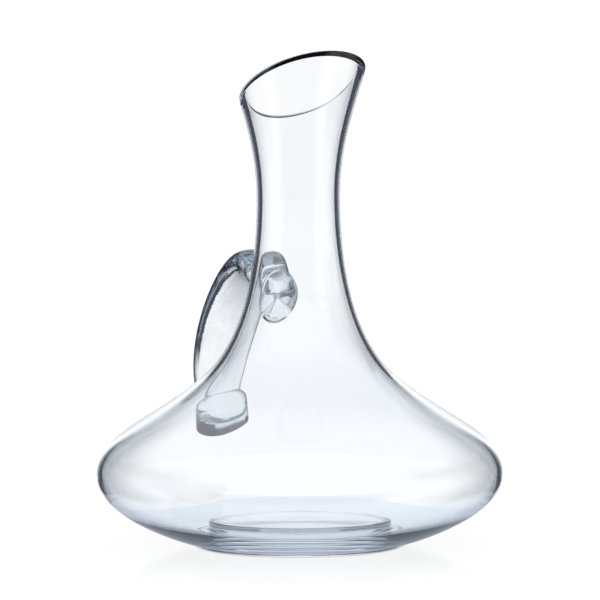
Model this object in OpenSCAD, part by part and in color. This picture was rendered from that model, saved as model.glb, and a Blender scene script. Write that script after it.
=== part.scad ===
// Handled wine decanter in clear glass: a wide low bowl drawn up into a slender neck with a slanted
// mouth, standing on a low foot ring, with a solid glass handle between the neck and the shoulder.
//
// Millimetres, +Z up. The origin is on the bowl's axis, on the plane the foot stands on.
// The high lip of the mouth points to +X and the handle to -X.

/* [Bowl] */
// Diameter of the bowl at its widest
bowl_d = 210; // [170:1:260]
// Height of the widest ring above the table
bowl_h = 37; // [30:1:46]
// Diameter of the shoulder where its curve turns into the neck's
shoulder_d = 100; // [80:1:122]
// Height of that turn of the shoulder
shoulder_h = 86.5; // [78:0.5:104]
// Steepness of the shoulder at that turn, in degrees from level
shoulder_slope = 40; // [30:1:50]

/* [Neck and mouth] */
// Outside diameter of the neck at its narrowest
neck_d = 43; // [35:0.5:52]
// Height of the narrowest ring
neck_h = 179; // [150:1:186]
// Outside diameter of the flared neck at the high lip
mouth_d = 74; // [61:1:90]
// Height of the high lip, which is the overall height
lip_h = 255; // [240:1:306]
// Slant of the mouth, in degrees from level
mouth_slant = 29; // [15:1:34]

/* [Glass thickness] */
// Wall at the widest ring of the bowl
bowl_wall = 3.4; // [2.5:0.1:4.5]
// Wall at the shoulder
shoulder_wall = 3; // [2.2:0.1:4]
// Wall at the narrowest ring of the neck
neck_wall = 3; // [2.2:0.1:3.8]
// Wall at the high lip
lip_wall = 4.5; // [3:0.1:5.4]
// Height of the inside floor above the table, in the gutter around its raised middle
gutter_h = 5; // [4.5:0.1:6]
// Diameter of the raised middle of the inside floor
kick_d = 94; // [80:1:96]
// Height of that raised middle above the table
kick_h = 13.5; // [11:0.5:17]

/* [Foot] */
// Outside diameter of the foot ring
foot_d = 105; // [88:1:126]
// Width of the ring that touches the table
foot_w = 5; // [4:0.5:8]
// Height of the foot ring
foot_h = 1.2; // [1:0.1:2]
// Diameter of the hollow pushed up under the base
punt_d = 88; // [73:1:89]
// Height of the hollow's ceiling above the table
punt_h = 9.5; // [7:0.5:11]

/* [Handle] */
// Height on the neck of the middle of the handle's upper seal
handle_top_h = 126; // [114:1:136]
// Height on the shoulder of the middle of the handle's lower end
handle_low_h = 53.5; // [48:0.5:60]
// How far the strap's middle line swings out beyond the middle of its lower end
handle_swing = 5.2; // [3:0.1:9]
// Height of that farthest swing above the middle of the lower end
handle_swing_h = 26.5; // [22:0.5:32]
// Rise of the strap's middle line above the middle of the upper seal
handle_rise = 17.5; // [14:0.5:24]
// Squareness of the strap's cross-section: 2 is an oval, more has flatter faces
strap_square = 3; // [2:0.1:4]
// Width of the strap half way along
strap_w = 26.5; // [22:0.5:31]
// Width of the strap where it meets the seal and the stub
strap_end_w = 21.5; // [16:0.5:24]
// Thickness of the strap
strap_t = 12; // [9:0.5:14]

/* [Handle ends] */
// Width of the oval seal on the neck
seal_w = 23; // [18:0.5:26]
// Height of the oval seal on the neck
seal_h = 29; // [26:0.5:33]
// Glass between the neck and the seal's face
seal_t = 4.5; // [3:0.5:6]
// Width of the stub on the shoulder
stub_w = 31; // [24:0.5:34]
// Depth of the stub, from its inner to its outer side
stub_t = 17; // [14:0.5:20]
// Length of the stub from the shoulder to the strap, along its middle
stub_l = 17; // [13:0.5:20]
// Lean of the stub towards the bowl, in degrees from upright
stub_lean = 16; // [8:1:30]

/* [Hidden] */
clear_glass = [0.90, 0.94, 0.96, 0.5];
handle_glass = [0.76, 0.82, 0.86, 0.8];
leg_steps = 16;   // straight steps along one leg of the vessel's outline
ring_sides = 28;  // sides of one cross-section of the handle
strap_steps = 28; // cross-sections along the strap's long leg
sink = 8;         // how far a seal or stub starts inside the vessel before it is cut to the wall
crown = 0.5;      // rise of the raised floor and of the hollow's ceiling towards their middle
soft = 1.5;       // radius of the soft corners of the floor and of the hollow

// ---- curves -------------------------------------------------------------------------------------

function heading(angle) = [cos(angle), sin(angle)];

// A point of the cubic curve that leaves p by the pull a and reaches q by the pull b
function curve_point(p, a, b, q, t) =
    pow(1 - t, 3) * p + 3 * pow(1 - t, 2) * t * (p + a) + 3 * (1 - t) * t * t * (q - b) + pow(t, 3) * q;

// The points of one leg, without its last one, which begins the next leg
function leg(p, a, b, q, steps) = [for (i = [0:steps - 1]) curve_point(p, a, b, q, i / steps)];

// A round corner about its middle, from one heading to another
function corner(middle, radius, start, end) =
    [for (i = [0:4]) middle + radius * heading(start + (end - start) * i / 4)];

// ---- vessel outline, as [radius, height] ---------------------------------------------------------

foot_edge = [foot_d / 2 + 1, foot_h];
widest = [bowl_d / 2, bowl_h];
shoulder = [shoulder_d / 2, shoulder_h];
narrowest = [neck_d / 2, neck_h];
lip = [mouth_d / 2, lip_h];
up = heading(90);
shoulder_way = heading(180 - shoulder_slope);
lip_way = heading(84);

// The outside, from the foot up to the level of the high lip
outside = concat(
    leg(foot_edge, 8 * heading(9), 21 * up, widest, leg_steps),
    leg(widest, 20 * up, 34 * shoulder_way, shoulder, leg_steps),
    leg(shoulder, 29 * shoulder_way, 35 * up, narrowest, leg_steps),
    leg(narrowest, 34 * up, 18 * lip_way, lip, leg_steps),
    [lip]
);

// The inside, from the middle of the raised floor, down into the gutter around it and up, set in
// by the wall at each of the outside's stations
kick_r = kick_d / 2;
gutter = [kick_r + 2 * soft, gutter_h];
inner_widest = [bowl_d / 2 - bowl_wall, bowl_h];
inner_shoulder = shoulder - shoulder_wall * heading(90 - shoulder_slope);
inner_narrowest = narrowest - [neck_wall, 0];
inner_lip = lip - [lip_wall, 0];
inside = concat(
    leg([0, kick_h + crown], 15 * heading(0), 15 * heading(0), [kick_r - soft, kick_h], leg_steps / 2),
    corner([kick_r - soft, kick_h - soft], soft, 90, 0),
    corner([kick_r + soft, gutter_h + soft], soft, 180, 270),
    leg(gutter, 14 * heading(6), 20 * up, inner_widest, leg_steps),
    leg(inner_widest, 17 * up, 33 * shoulder_way, inner_shoulder, leg_steps),
    leg(inner_shoulder, 28 * shoulder_way, 35 * up, inner_narrowest, leg_steps),
    leg(inner_narrowest, 34 * up, 18 * lip_way, inner_lip, leg_steps),
    [inner_lip]
);

// The hollow under the base, from the middle of its ceiling to the foot ring's inner edge
punt_r = punt_d / 2;
foot_inner = [foot_d / 2 - foot_w, foot_h];
punt = concat(
    leg([0, punt_h + crown], 15 * heading(0), 15 * heading(0), [punt_r - soft, punt_h], leg_steps / 2),
    corner([punt_r - soft, punt_h - soft], soft, 90, 0),
    [[punt_r, foot_h + 2 * soft], foot_inner]
);

// Radius of the outside at a height between the widest ring and the lip
function radius_at(height) = lookup(height, [for (p = outside) if (p[1] >= bowl_h) [p[1], p[0]]]);

module vessel_block() {
    rotate_extrude($fn = 180)
        polygon(concat([[0, foot_h]], outside, [[0, lip_h]]));
}

// Everything above the slanted plane of the mouth, which falls away from the high lip to -X
module above_mouth() {
    translate([mouth_d / 2, 0, lip_h])
        rotate([0, -mouth_slant, 0])
            translate([-2 * mouth_d, -mouth_d, 0])
                cube([3 * mouth_d, 2 * mouth_d, mouth_d]);
}

module vessel() {
    rim_to_floor = [for (i = [len(inside) - 1:-1:0]) inside[i]];
    color(clear_glass)
        difference() {
            rotate_extrude($fn = 180)
                polygon(concat(punt, outside, rim_to_floor));
            above_mouth();
        }
}

module foot_ring() {
    color(clear_glass)
        rotate_extrude($fn = 180)
            translate([foot_inner[0], 0])
                square([foot_w, foot_h]);
}

// ---- handle ---------------------------------------------------------------------------------------

// The strap's middle line, as [reach from the axis, height]: out of the seal's face, over the
// top, down to the farthest reach, and in to the stub's top
seal_face = radius_at(handle_top_h) + seal_t;
stub_way = heading(-90 - stub_lean);
stub_foot = [radius_at(handle_low_h), handle_low_h];
strap_start = [seal_face, handle_top_h + seal_h / 4];
strap_top = [seal_face + 17, handle_top_h + handle_rise];
strap_far = stub_foot + [handle_swing, handle_swing_h];
strap_end = stub_foot - stub_l * stub_way;
strap_line = concat(
    leg(strap_start, 7 * heading(20), 8 * heading(0), strap_top, strap_steps / 3),
    leg(strap_top, 14 * heading(0), 28 * heading(-90), strap_far, strap_steps),
    leg(strap_far, 4 * heading(-90), 4 * stub_way, strap_end, strap_steps / 4),
    [strap_end]
);

// Direction of the middle line at its i-th point, level at the seal and along the stub at its end
function strap_way(i) =
    i == 0 ? heading(0)
    : i == len(strap_line) - 1 ? stub_way
    : let (step = strap_line[i + 1] - strap_line[i - 1]) step / norm(step);

// A share from -1 to 1, pushed outwards by the squareness of an outline
function pushed(share, square) = sign(share) * pow(abs(share), 2 / square);

// One cross-section of the handle around a middle, square to a way, as points in space
function oval_ring(middle, way, width, depth, square = 2) =
    let (across = [-way[1], way[0]])
    [for (k = [0:ring_sides - 1])
        let (
            turn = 360 * k / ring_sides,
            flat = middle + across * depth / 2 * pushed(sin(turn), square)
        )
        [-flat[0], width / 2 * pushed(cos(turn), square), flat[1]]];

// The strap is widest half way along and narrows towards both ends
function strap_width(i) = strap_end_w + (strap_w - strap_end_w) * sin(180 * i / (len(strap_line) - 1));

// A closed skin over a row of equal rings
module skin(rings) {
    sides = len(rings[0]);
    last = len(rings) - 1;
    polyhedron(
        points = [for (ring = rings) each ring],
        faces = concat(
            [[for (k = [0:sides - 1]) k]],
            [[for (k = [sides - 1:-1:0]) last * sides + k]],
            [for (i = [0:last - 1], k = [0:sides - 1])
                let (a = i * sides + k, b = i * sides + (k + 1) % sides)
                [a, a + sides, b + sides, b]]
        )
    );
}

module handle_strap() {
    color(handle_glass)
        skin([for (i = [0:len(strap_line) - 1])
            oval_ring(strap_line[i], strap_way(i), strap_width(i), strap_t, strap_square)]);
}

// The pressed seal on the neck, swelling from the strap's end to its full outline at the wall
module upper_seal() {
    middle = [seal_face, handle_top_h];
    color(handle_glass)
        difference() {
            skin([for (out = [seal_t + sink, seal_t, seal_t / 2, seal_t / 5, 0])
                let (swell = min(1, out / seal_t), round_off = 4 * (1 - sqrt(1 - pow(1 - swell, 2))))
                oval_ring(middle - [out, 0], heading(0), seal_w - round_off, seal_h - round_off)]);
            vessel_block();
        }
}

// The stub on the shoulder, swelling from the strap's end to its full outline
module lower_stub() {
    swell_l = stub_l / 3;
    color(handle_glass)
        difference() {
            skin([for (along = [stub_l + sink, swell_l, swell_l * 0.6, swell_l * 0.3, swell_l * 0.1, 0])
                let (swell = min(1, along / swell_l), part = sqrt(1 - pow(1 - swell, 2)))
                oval_ring(
                    strap_end + along * stub_way, stub_way,
                    strap_end_w + (stub_w - strap_end_w) * part, strap_t + (stub_t - strap_t) * part
                )]);
            vessel_block();
        }
}

vessel();
foot_ring();
handle_strap();
upper_seal();
lower_stub();
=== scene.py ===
"""Looks of the glass wine decanter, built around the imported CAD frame.

Blender works in metres. The sizes below are the design's own, in millimetres, and MM turns them
into metres. +Z is up, the high lip points to +X and the handle to -X.
"""

import math

import bmesh
import bpy
from mathutils import Matrix, Vector


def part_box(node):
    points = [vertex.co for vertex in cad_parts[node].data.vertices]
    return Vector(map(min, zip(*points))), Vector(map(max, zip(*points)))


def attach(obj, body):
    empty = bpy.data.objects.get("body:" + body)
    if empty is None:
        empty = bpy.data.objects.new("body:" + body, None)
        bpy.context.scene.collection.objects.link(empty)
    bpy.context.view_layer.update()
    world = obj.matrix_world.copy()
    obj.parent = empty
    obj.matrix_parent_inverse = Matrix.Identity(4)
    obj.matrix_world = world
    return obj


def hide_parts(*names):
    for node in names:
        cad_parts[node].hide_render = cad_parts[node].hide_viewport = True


MM = 0.001

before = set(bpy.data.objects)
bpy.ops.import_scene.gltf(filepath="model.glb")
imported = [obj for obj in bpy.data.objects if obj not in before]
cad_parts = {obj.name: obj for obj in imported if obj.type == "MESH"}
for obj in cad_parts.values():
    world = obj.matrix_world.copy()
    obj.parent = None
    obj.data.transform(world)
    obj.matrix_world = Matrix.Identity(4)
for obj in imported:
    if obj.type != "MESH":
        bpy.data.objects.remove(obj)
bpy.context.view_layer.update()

# ---- sizes of the vessel, in millimetres ----------------------------------------------------------
# LIP_H, BOWL_R, FOOT_R and FOOT_H come from the frame. The others, and the handle's sizes, repeat
# the design's values, which the frame doesn't hold.

vessel_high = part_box("vessel")[1]
ring_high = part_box("foot_ring")[1]

LIP_H = vessel_high[2] / MM
BOWL_R = vessel_high[1] / MM
BOWL_H = 37.0
SHOULDER_R = 50.0
SHOULDER_H = 86.5
SHOULDER_SLOPE = 40.0
NECK_R = 21.5
NECK_H = 179.0
MOUTH_R = 37.0
MOUTH_SLANT = 29.0
FOOT_R = ring_high[1] / MM
FOOT_H = ring_high[2] / MM
FOOT_W = 5.0
PUNT_R = 44.0
PUNT_H = 9.5
KICK_R = 47.0
KICK_H = 13.5
GUTTER_H = 5.0
CROWN = 0.5
SOFT = 1.5
BOWL_WALL = 3.4
SHOULDER_WALL = 3.0
NECK_WALL = 3.0
LIP_WALL = 4.5

# ---- sizes of the handle --------------------------------------------------------------------------

SEAL_H = 126.0
SEAL_W = 23.0
SEAL_TALL = 29.0
SEAL_T = 4.5
SEAL_ROUND = 4.0
STUB_H = 53.5
STUB_W = 31.0
STUB_T = 17.0
STUB_L = 17.0
STUB_LEAN = 16.0
STUB_SWELL = 5.0
STRAP_W = 26.5
STRAP_END_W = 21.5
STRAP_T = 12.0
STRAP_SQUARE = 3.0
HANDLE_RISE = 17.5
HANDLE_SWING = 5.2
HANDLE_SWING_H = 26.5

# ---- how finely the glass is drawn ----------------------------------------------------------------

AROUND = 224
LEG_STEPS = 32
HANDLE_SIDES = 48
CONTACT_GAP = 0.04
RIM_EDGE = 0.35
FOOT_EDGE = 0.4


def heading(angle):
    return Vector((math.cos(math.radians(angle)), math.sin(math.radians(angle))))


def curve_point(p, a, b, q, t):
    """A point of the cubic curve that leaves p by the pull a and reaches q by the pull b."""
    return (1 - t) ** 3 * p + 3 * (1 - t) ** 2 * t * (p + a) + 3 * (1 - t) * t * t * (q - b) + t**3 * q


def leg(p, a, b, q, steps):
    """The points of one leg, without its last one, which begins the next leg."""
    return [curve_point(p, a, b, q, i / steps) for i in range(steps)]


def corner(middle, radius, start, end, steps=5):
    """A small round corner about its middle, between two headings."""
    return [middle + radius * heading(start + (end - start) * i / steps) for i in range(steps + 1)]


UP = Vector((0, 1))
LEVEL = Vector((1, 0))
SHOULDER_WAY = heading(180 - SHOULDER_SLOPE)
LIP_WAY = heading(84)

foot_edge = Vector((FOOT_R + 1, FOOT_H))
widest = Vector((BOWL_R, BOWL_H))
shoulder = Vector((SHOULDER_R, SHOULDER_H))
narrowest = Vector((NECK_R, NECK_H))
lip = Vector((MOUTH_R, LIP_H))
gutter = Vector((KICK_R + 2 * SOFT, GUTTER_H))
inner_widest = widest - Vector((BOWL_WALL, 0))
inner_shoulder = shoulder - SHOULDER_WALL * heading(90 - SHOULDER_SLOPE)
inner_narrowest = narrowest - Vector((NECK_WALL, 0))
inner_lip = lip - Vector((LIP_WALL, 0))

outside = (
    leg(foot_edge, 8 * heading(9), 21 * UP, widest, LEG_STEPS)
    + leg(widest, 20 * UP, 34 * SHOULDER_WAY, shoulder, LEG_STEPS)
    + leg(shoulder, 29 * SHOULDER_WAY, 35 * UP, narrowest, LEG_STEPS)
)
inside = (
    leg(Vector((0, KICK_H + CROWN)), 15 * LEVEL, 15 * LEVEL, Vector((KICK_R - SOFT, KICK_H)), LEG_STEPS // 2)
    + corner(Vector((KICK_R - SOFT, KICK_H - SOFT)), SOFT, 90, 0)
    + corner(Vector((KICK_R + SOFT, GUTTER_H + SOFT)), SOFT, 180, 270)
    + leg(gutter, 14 * heading(6), 20 * UP, inner_widest, LEG_STEPS)
    + leg(inner_widest, 17 * UP, 33 * SHOULDER_WAY, inner_shoulder, LEG_STEPS)
    + leg(inner_shoulder, 28 * SHOULDER_WAY, 35 * UP, inner_narrowest, LEG_STEPS)
)
punt = (
    leg(Vector((0, PUNT_H + CROWN)), 15 * LEVEL, 15 * LEVEL, Vector((PUNT_R - SOFT, PUNT_H)), LEG_STEPS // 2)
    + corner(Vector((PUNT_R - SOFT, PUNT_H - SOFT)), SOFT, 90, 0)
    + [Vector((PUNT_R, FOOT_H + 2 * SOFT))]
)


def flare(start, end, t):
    """A point of the neck's flare, from its narrowest ring to the level of the high lip."""
    return curve_point(start, 34 * UP, 18 * LIP_WAY, end, t)


def mouth_height(x):
    """Height of the slanted mouth over the distance x from the axis towards the high lip."""
    return LIP_H + (x - MOUTH_R) * math.tan(math.radians(MOUTH_SLANT))


def bend(start, edge_point, end, t):
    """A point of the small curve that rounds an edge off."""
    return (1 - t) ** 2 * start + 2 * (1 - t) * t * edge_point + t * t * end


def flare_to_mouth(start, end, turn, drop, steps):
    """The flare's points on one meridian, up to a level below the slanted mouth."""
    low, high = 0.0, 1.2
    for _ in range(30):
        t = (low + high) / 2
        p = flare(start, end, t)
        if p.y < mouth_height(p.x * math.cos(turn)) - drop:
            low = t
        else:
            high = t
    return [flare(start, end, low * i / steps) for i in range(steps + 1)]


def meridian(turn):
    """The closed outline of the glass on one meridian, from under the base to the floor inside."""
    ring_in = FOOT_R - FOOT_W
    foot = corner(Vector((ring_in + FOOT_EDGE, FOOT_EDGE)), FOOT_EDGE, 180, 270) + corner(
        Vector((FOOT_R - FOOT_EDGE, FOOT_EDGE)), FOOT_EDGE, 270, 360
    )
    outer = flare_to_mouth(narrowest, lip, turn, RIM_EDGE, LEG_STEPS)
    inner = flare_to_mouth(inner_narrowest, inner_lip, turn, RIM_EDGE, LEG_STEPS)
    rim_out = outer[-1] + RIM_EDGE * UP
    rim_in = inner[-1] + RIM_EDGE * UP
    across = (rim_in - rim_out).normalized() * RIM_EDGE
    rim = [bend(outer[-1], rim_out, rim_out + across, t / 4) for t in range(5)]
    rim += [bend(rim_in - across, rim_in, inner[-1], t / 4) for t in range(5)]
    return punt[1:] + foot + outside + outer[:-1] + rim + inner[-2::-1] + inside[:0:-1]


def new_object(name, mesh):
    obj = bpy.data.objects.new(name, mesh)
    bpy.context.scene.collection.objects.link(obj)
    return obj


def skin(name, rings, start_cap=None, end_cap=None):
    """A closed mesh over a row of equal rings of points, each end shut by a fan to its cap point."""
    bm = bmesh.new()
    rows = [[bm.verts.new(Vector(p) * MM) for p in ring] for ring in rings]
    for a, b in zip(rows, rows[1:]):
        for k in range(len(a)):
            n = (k + 1) % len(a)
            bm.faces.new((a[k], a[n], b[n], b[k]))
    for row, cap in ((rows[0], start_cap), (rows[-1], end_cap)):
        tip = bm.verts.new(Vector(cap) * MM)
        for k in range(len(row)):
            bm.faces.new((row[k], row[(k + 1) % len(row)], tip))
    bmesh.ops.recalc_face_normals(bm, faces=bm.faces)
    mesh = bpy.data.meshes.new(name)
    bm.to_mesh(mesh)
    bm.free()
    mesh.shade_smooth()
    return new_object(name, mesh)


def make_vessel():
    turns = [2 * math.pi * k / AROUND for k in range(AROUND)]
    outlines = [meridian(turn) for turn in turns]
    rings = [
        [
            (line[i].x * math.cos(turn), line[i].x * math.sin(turn), line[i].y)
            for line, turn in zip(outlines, turns)
        ]
        for i in range(len(outlines[0]))
    ]
    return skin("decanter_vessel", rings, (0, 0, PUNT_H + CROWN), (0, 0, KICK_H + CROWN))


# ---- handle -----------------------------------------------------------------------------------------


def radius_at(height):
    """Radius of the outside between the widest ring and the neck's narrowest."""
    for a, b in zip(outside[LEG_STEPS:], outside[LEG_STEPS + 1 :] + [narrowest]):
        if a.y <= height <= b.y:
            return a.x + (b.x - a.x) * (height - a.y) / (b.y - a.y)
    raise ValueError(f"no outside at height {height}")


def on_vessel(start, way):
    """Where the line from start along way, both in space, meets the vessel's outside."""
    low, high = 0.0, 60.0
    for _ in range(36):
        s = (low + high) / 2
        p = start + s * way
        if math.hypot(p.x, p.y) > radius_at(max(p.z, BOWL_H + 0.01)) + CONTACT_GAP:
            low = s
        else:
            high = s
    return start + low * way


def make_handle():
    seal_face = radius_at(SEAL_H) + SEAL_T
    stub_way = heading(-90 - STUB_LEAN)
    stub_foot = Vector((radius_at(STUB_H), STUB_H))
    start = Vector((seal_face, SEAL_H + SEAL_TALL / 4))
    top = Vector((seal_face + 17, SEAL_H + HANDLE_RISE))
    far = stub_foot + Vector((HANDLE_SWING, HANDLE_SWING_H))
    end = stub_foot - STUB_L * stub_way
    line = (
        leg(start, 7 * heading(20), 8 * LEVEL, top, 16)
        + leg(top, 14 * LEVEL, -28 * UP, far, 48)
        + leg(far, -4 * UP, 4 * stub_way, end, 12)
        + [end]
    )
    last = len(line) - 1

    def way(i):
        if i == 0:
            return LEVEL
        if i == last:
            return stub_way
        return (line[i + 1] - line[i - 1]).normalized()

    def pushed(share, square):
        return math.copysign(abs(share) ** (2 / square), share)

    def ring(middle, along, width, depth, square=2.0):
        across = Vector((-along.y, along.x))
        points = []
        for k in range(HANDLE_SIDES):
            turn = 2 * math.pi * k / HANDLE_SIDES
            flat = middle + across * depth / 2 * pushed(math.sin(turn), square)
            points.append(Vector((-flat.x, width / 2 * pushed(math.cos(turn), square), flat.y)))
        return points

    rings = []
    for i in range(last + 1):
        width = STRAP_END_W + (STRAP_W - STRAP_END_W) * math.sin(math.pi * i / last)
        rings.append(ring(line[i], way(i), width, STRAP_T, STRAP_SQUARE))
    seal = []
    middle = Vector((seal_face, SEAL_H))
    for out in (0, 0.5, 1, 2, 3, SEAL_T):
        swell = min(1, out / SEAL_T)
        round_off = SEAL_ROUND * (1 - math.sqrt(1 - (1 - swell) ** 2))
        seal.append(ring(middle - out * LEVEL, LEVEL, SEAL_W - round_off, SEAL_TALL - round_off))
    inward = Vector((1, 0, 0))
    outline = [on_vessel(p - 2 * inward, inward) for p in seal[-1]]
    tip = on_vessel(Vector((-middle.x, 0, middle.y)), inward)
    seal = [outline] + seal[-2::-1]
    stub = []
    down = Vector((-stub_way.x, 0, stub_way.y))
    for along in (0.3, 0.8, 1.5, 2.5, 4, STUB_SWELL):
        part = math.sqrt(1 - (1 - along / STUB_SWELL) ** 2)
        stub.append(
            ring(
                end + along * stub_way, stub_way,
                STRAP_END_W + (STUB_W - STRAP_END_W) * part, STRAP_T + (STUB_T - STRAP_T) * part,
            )
        )
    stub.append([on_vessel(p, down) for p in stub[-1]])
    stub_tip = on_vessel(Vector((-end.x, 0, end.y)), down)
    return skin("decanter_handle", seal + rings + stub, tip, stub_tip)


# ---- node helpers -----------------------------------------------------------------------------------


def math_node(tree, operation, *values):
    node = tree.nodes.new("ShaderNodeMath")
    node.operation = operation
    for socket, value in zip(node.inputs, values):
        if isinstance(value, (int, float)):
            socket.default_value = value
        else:
            tree.links.new(value, socket)
    return node.outputs[0]


def colour_mix(tree, factor, first, second):
    node = tree.nodes.new("ShaderNodeMix")
    node.data_type = "RGBA"
    for name, value in (("Factor", factor), ("A", first), ("B", second)):
        if isinstance(value, tuple):
            node.inputs[name].default_value = value
        else:
            tree.links.new(value, node.inputs[name])
    return node.outputs["Result"]


def step(tree, value, low, high):
    """0 at low, 1 at high and even in between; low may be the greater of the two."""
    node = tree.nodes.new("ShaderNodeMapRange")
    node.inputs["From Min"].default_value = low
    node.inputs["From Max"].default_value = high
    tree.links.new(value, node.inputs["Value"])
    return node.outputs[0]


def off_glass(tree):
    """Two switches by a ray's path so far: 1 where it has been bent through glass or mirrored, and 1
    where it has been mirrored."""
    path = tree.nodes.new("ShaderNodeLightPath")
    bends = math_node(tree, "ADD", path.outputs["Transmission Depth"], path.outputs["Glossy Depth"])
    mirrored = math_node(tree, "GREATER_THAN", path.outputs["Glossy Depth"], 0.5)
    return math_node(tree, "GREATER_THAN", bends, 0.5), mirrored


# ---- materials --------------------------------------------------------------------------------------

GLASS_IOR = 1.52
GLASS_BODY = (0.72, 0.84, 0.92, 1)
BODY_DENSITY = 8.0

# tint and thin: the surface's colour, and the share of it left in a streak
# streaks: noise cells in a metre along X, Y and Z
# ripple: strength of the bump, and its depth in millimetres
# edge: where the painted edge shade starts and is full, over the facing, and its dark colour
BLOWN_GLASS = {
    "tint": (0.978, 0.99, 1.0),
    "thin": 0.985,
    "streaks": (9, 9, 22),
    "ripple": (0.25, 0.12),
    "edge": (0.55, 1.0, (0.8, 0.86, 0.93, 1)),
}
SOLID_GLASS = {
    "tint": (0.96, 0.975, 0.99),
    "thin": 0.9,
    "streaks": (220, 220, 28),
    "ripple": (0.4, 0.2),
    "edge": (0.28, 0.6, (0.02, 0.025, 0.035, 1)),
}


def glass_material(name, tint, thin, streaks, ripple, edge):
    """Clear glass with drawn streaks and ripples, and painted shade that darkens the sides turned away from
    the view.
    """
    mat = bpy.data.materials.new(name)
    mat.use_nodes = True
    tree = mat.node_tree
    nodes = tree.nodes
    links = tree.links
    shader = nodes["Principled BSDF"]
    shader.inputs["Roughness"].default_value = 0.0
    shader.inputs["IOR"].default_value = GLASS_IOR
    shader.inputs["Transmission Weight"].default_value = 1.0

    place = nodes.new("ShaderNodeTexCoord")
    drawn = nodes.new("ShaderNodeMapping")
    drawn.inputs["Scale"].default_value = streaks
    links.new(place.outputs["Object"], drawn.inputs["Vector"])
    cords = nodes.new("ShaderNodeTexNoise")
    cords.inputs["Scale"].default_value = 1.0
    cords.inputs["Detail"].default_value = 3.0
    links.new(drawn.outputs["Vector"], cords.inputs["Vector"])

    colour = nodes.new("ShaderNodeValToRGB")
    colour.color_ramp.elements[0].position = 0.35
    colour.color_ramp.elements[0].color = (*[c * thin for c in tint], 1)
    colour.color_ramp.elements[1].position = 0.65
    colour.color_ramp.elements[1].color = (*tint, 1)
    links.new(cords.outputs["Fac"], colour.inputs[0])
    # Painted shade: the colour darkens where the surface turns edge-on to the view, in place of dark
    # reflections.
    facing = nodes.new("ShaderNodeLayerWeight")
    facing.inputs["Blend"].default_value = 0.5
    painted_edge_shade = step(tree, facing.outputs["Facing"], edge[0], edge[1])
    links.new(colour_mix(tree, painted_edge_shade, colour.outputs["Color"], edge[2]), shader.inputs["Base Color"])

    bump = nodes.new("ShaderNodeBump")
    bump.inputs["Strength"].default_value = ripple[0]
    bump.inputs["Distance"].default_value = ripple[1] * MM
    links.new(cords.outputs["Fac"], bump.inputs["Height"])
    links.new(bump.outputs["Normal"], shader.inputs["Normal"])
    volume = nodes.new("ShaderNodeVolumeAbsorption")
    volume.inputs["Color"].default_value = GLASS_BODY
    volume.inputs["Density"].default_value = BODY_DENSITY
    links.new(volume.outputs["Volume"], nodes["Material Output"].inputs["Volume"])
    return mat


# ---- stage, light and camera --------------------------------------------------------------------------

CAMERA_TURN = 64.0
CAMERA_TILT = 4.6
CAMERA_DISTANCE = 2500.0
CAMERA_AIM_H = 126.1
CAMERA_AIM_SIDE = 0.6
CAMERA_ROLL = 0.3
SENSOR = 36.0
FOCAL_SHARE = 4873 / 600  # focal length over the width of the picture

FLOOR_R = 150.0
FLOOR_DROP = 0.05
FLOOR_SHADE = 0.12
FLOOR_SHEEN = 0.1
# Painted shade: the floor's glow colour where a ray reaches it through glass, and the darker one where a ray
# reaches it mirrored.
PAINTED_FLOOR_BENT = (0.86, 0.91, 0.98, 1)
PAINTED_FLOOR_MIRRORED = (0.4, 0.46, 0.56, 1)
CONTACT_REACH = 1.5
CONTACT_SHADE = (0.45, 0.52, 0.62, 1)
WHITE = (1, 1, 1, 1)

BEHIND = 1.05
ROOM_WHITE = (1.05, 1.06, 1.08, 1)
ROOM_DARK = (0.06, 0.07, 0.092, 1)
ROOM_LOW = (0.1, 0.12, 0.155, 1)

# Where the panels and the low front start and are full, as parts of a direction one long
PANEL_INNER = (0.26, 0.32)
PANEL_OUTER = (1.0, 0.85)
PANEL_AHEAD = (-0.35, -0.15)
PANEL_TOP = (0.65, 0.45)
FRONT_AHEAD = (-0.5, -0.7)
FRONT_TOP = (-0.03, -0.1)


def make_camera():
    turn, tilt, roll = (math.radians(a) for a in (CAMERA_TURN, CAMERA_TILT, CAMERA_ROLL))
    right = Vector((math.cos(turn), math.sin(turn), 0))
    level = Vector((-math.sin(turn), math.cos(turn), 0))
    ahead = level * math.cos(tilt) - Vector((0, 0, math.sin(tilt)))
    up = right.cross(ahead)
    aim = Vector((0, 0, CAMERA_AIM_H)) + CAMERA_AIM_SIDE * right
    place = (aim - CAMERA_DISTANCE * ahead) * MM
    x_axis = right * math.cos(roll) - up * math.sin(roll)
    y_axis = right * math.sin(roll) + up * math.cos(roll)
    data = bpy.data.cameras.new("camera")
    data.sensor_width = SENSOR
    data.lens = FOCAL_SHARE * SENSOR
    data.clip_start = 0.1
    data.clip_end = 50
    camera = bpy.data.objects.new("camera", data)
    bpy.context.scene.collection.objects.link(camera)
    turned = Matrix((x_axis, y_axis, -ahead)).transposed().to_4x4()
    camera.matrix_world = Matrix.Translation(place) @ turned
    bpy.context.scene.camera = camera


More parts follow.
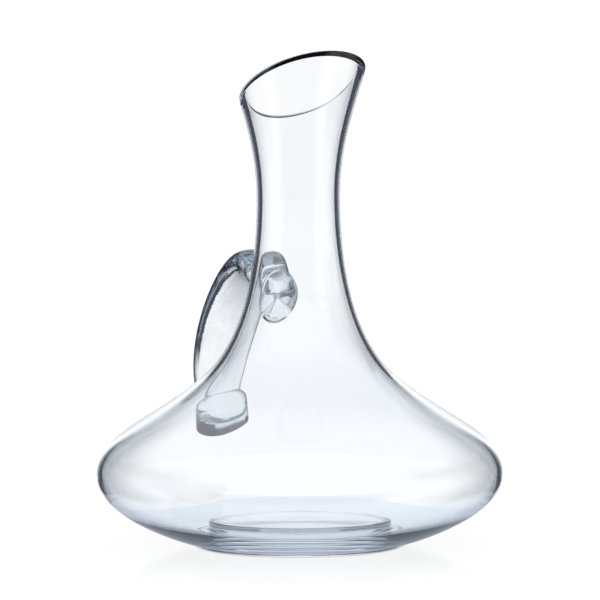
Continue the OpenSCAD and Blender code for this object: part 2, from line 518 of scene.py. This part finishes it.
def make_floor():
    """A pale disc that glows, a little shaded and bluish where the foot comes close to it."""
    bpy.ops.mesh.primitive_circle_add(
        vertices=96, radius=FLOOR_R * MM, fill_type="NGON", location=(0, 0, -FLOOR_DROP * MM)
    )
    floor = bpy.context.object
    floor.name = "floor"
    mat = bpy.data.materials.new("floor_white")
    mat.use_nodes = True
    tree = mat.node_tree
    nodes = tree.nodes
    links = tree.links
    shader = nodes["Principled BSDF"]
    shader.inputs["Base Color"].default_value = (FLOOR_SHADE, FLOOR_SHADE, FLOOR_SHADE, 1)
    shader.inputs["Roughness"].default_value = 0.6
    shader.inputs["Specular IOR Level"].default_value = 0.0
    shader.inputs["Emission Strength"].default_value = BEHIND - FLOOR_SHADE
    near = nodes.new("ShaderNodeAmbientOcclusion")
    near.inputs["Distance"].default_value = CONTACT_REACH * MM
    near.samples = 8
    contact = colour_mix(tree, near.outputs["AO"], CONTACT_SHADE, WHITE)
    # Painted shade: the glow dims and turns bluish for rays that reach the floor through glass, darker still
    # for mirrored ones.
    either, mirrored = off_glass(tree)
    painted_floor_shade = colour_mix(tree, mirrored, PAINTED_FLOOR_BENT, PAINTED_FLOOR_MIRRORED)
    links.new(colour_mix(tree, either, contact, painted_floor_shade), shader.inputs["Emission Color"])
    shiny = nodes.new("ShaderNodeBsdfGlossy")
    shiny.inputs["Roughness"].default_value = 0.08
    both = nodes.new("ShaderNodeMixShader")
    both.inputs["Fac"].default_value = FLOOR_SHEEN
    links.new(shader.outputs[0], both.inputs[1])
    links.new(shiny.outputs[0], both.inputs[2])
    links.new(both.outputs[0], nodes["Material Output"].inputs["Surface"])
    floor.data.materials.append(mat)


def make_world():
    """White all round. A mirrored ray also finds two dark upright panels, left and right of the main
    view, and a dark low front; other rays never do."""
    world = bpy.data.worlds.new("studio")
    bpy.context.scene.world = world
    world.use_nodes = True
    tree = world.node_tree
    place = tree.nodes.new("ShaderNodeTexCoord")
    turned = tree.nodes.new("ShaderNodeMapping")
    turned.vector_type = "POINT"
    turned.inputs["Rotation"].default_value[2] = -math.radians(CAMERA_TURN)
    tree.links.new(place.outputs["Generated"], turned.inputs["Vector"])
    split = tree.nodes.new("ShaderNodeSeparateXYZ")
    tree.links.new(turned.outputs["Vector"], split.inputs[0])
    side, ahead, high = split.outputs
    off_side = math_node(tree, "ABSOLUTE", side)
    panels = step(tree, off_side, *PANEL_INNER)
    for value, ends in ((off_side, PANEL_OUTER), (ahead, PANEL_AHEAD), (high, PANEL_TOP)):
        panels = math_node(tree, "MULTIPLY", panels, step(tree, value, *ends))
    front = math_node(tree, "MULTIPLY", step(tree, ahead, *FRONT_AHEAD), step(tree, high, *FRONT_TOP))
    room = colour_mix(tree, panels, ROOM_WHITE, ROOM_DARK)
    room = colour_mix(tree, front, room, ROOM_LOW)
    mirrored = off_glass(tree)[1]
    colour = colour_mix(tree, mirrored, (BEHIND, BEHIND, BEHIND, 1), room)
    tree.links.new(colour, tree.nodes["Background"].inputs["Color"])


# ---- the object and its stage -------------------------------------------------------------------------

vessel = make_vessel()
handle = make_handle()
vessel.data.materials.append(glass_material("blown_glass", **BLOWN_GLASS))
handle.data.materials.append(glass_material("solid_glass", **SOLID_GLASS))
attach(vessel, "root")
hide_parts("vessel", "foot_ring")
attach(handle, "root")
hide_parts("handle_strap", "upper_seal", "lower_stub")

make_camera()
make_floor()
make_world()

scene = bpy.context.scene
scene.view_settings.view_transform = "Standard"
scene.cycles.max_bounces = 24
scene.cycles.transmission_bounces = 24
scene.cycles.glossy_bounces = 12
scene.cycles.transparent_max_bounces = 16
scene.cycles.caustics_reflective = True
scene.cycles.caustics_refractive = True
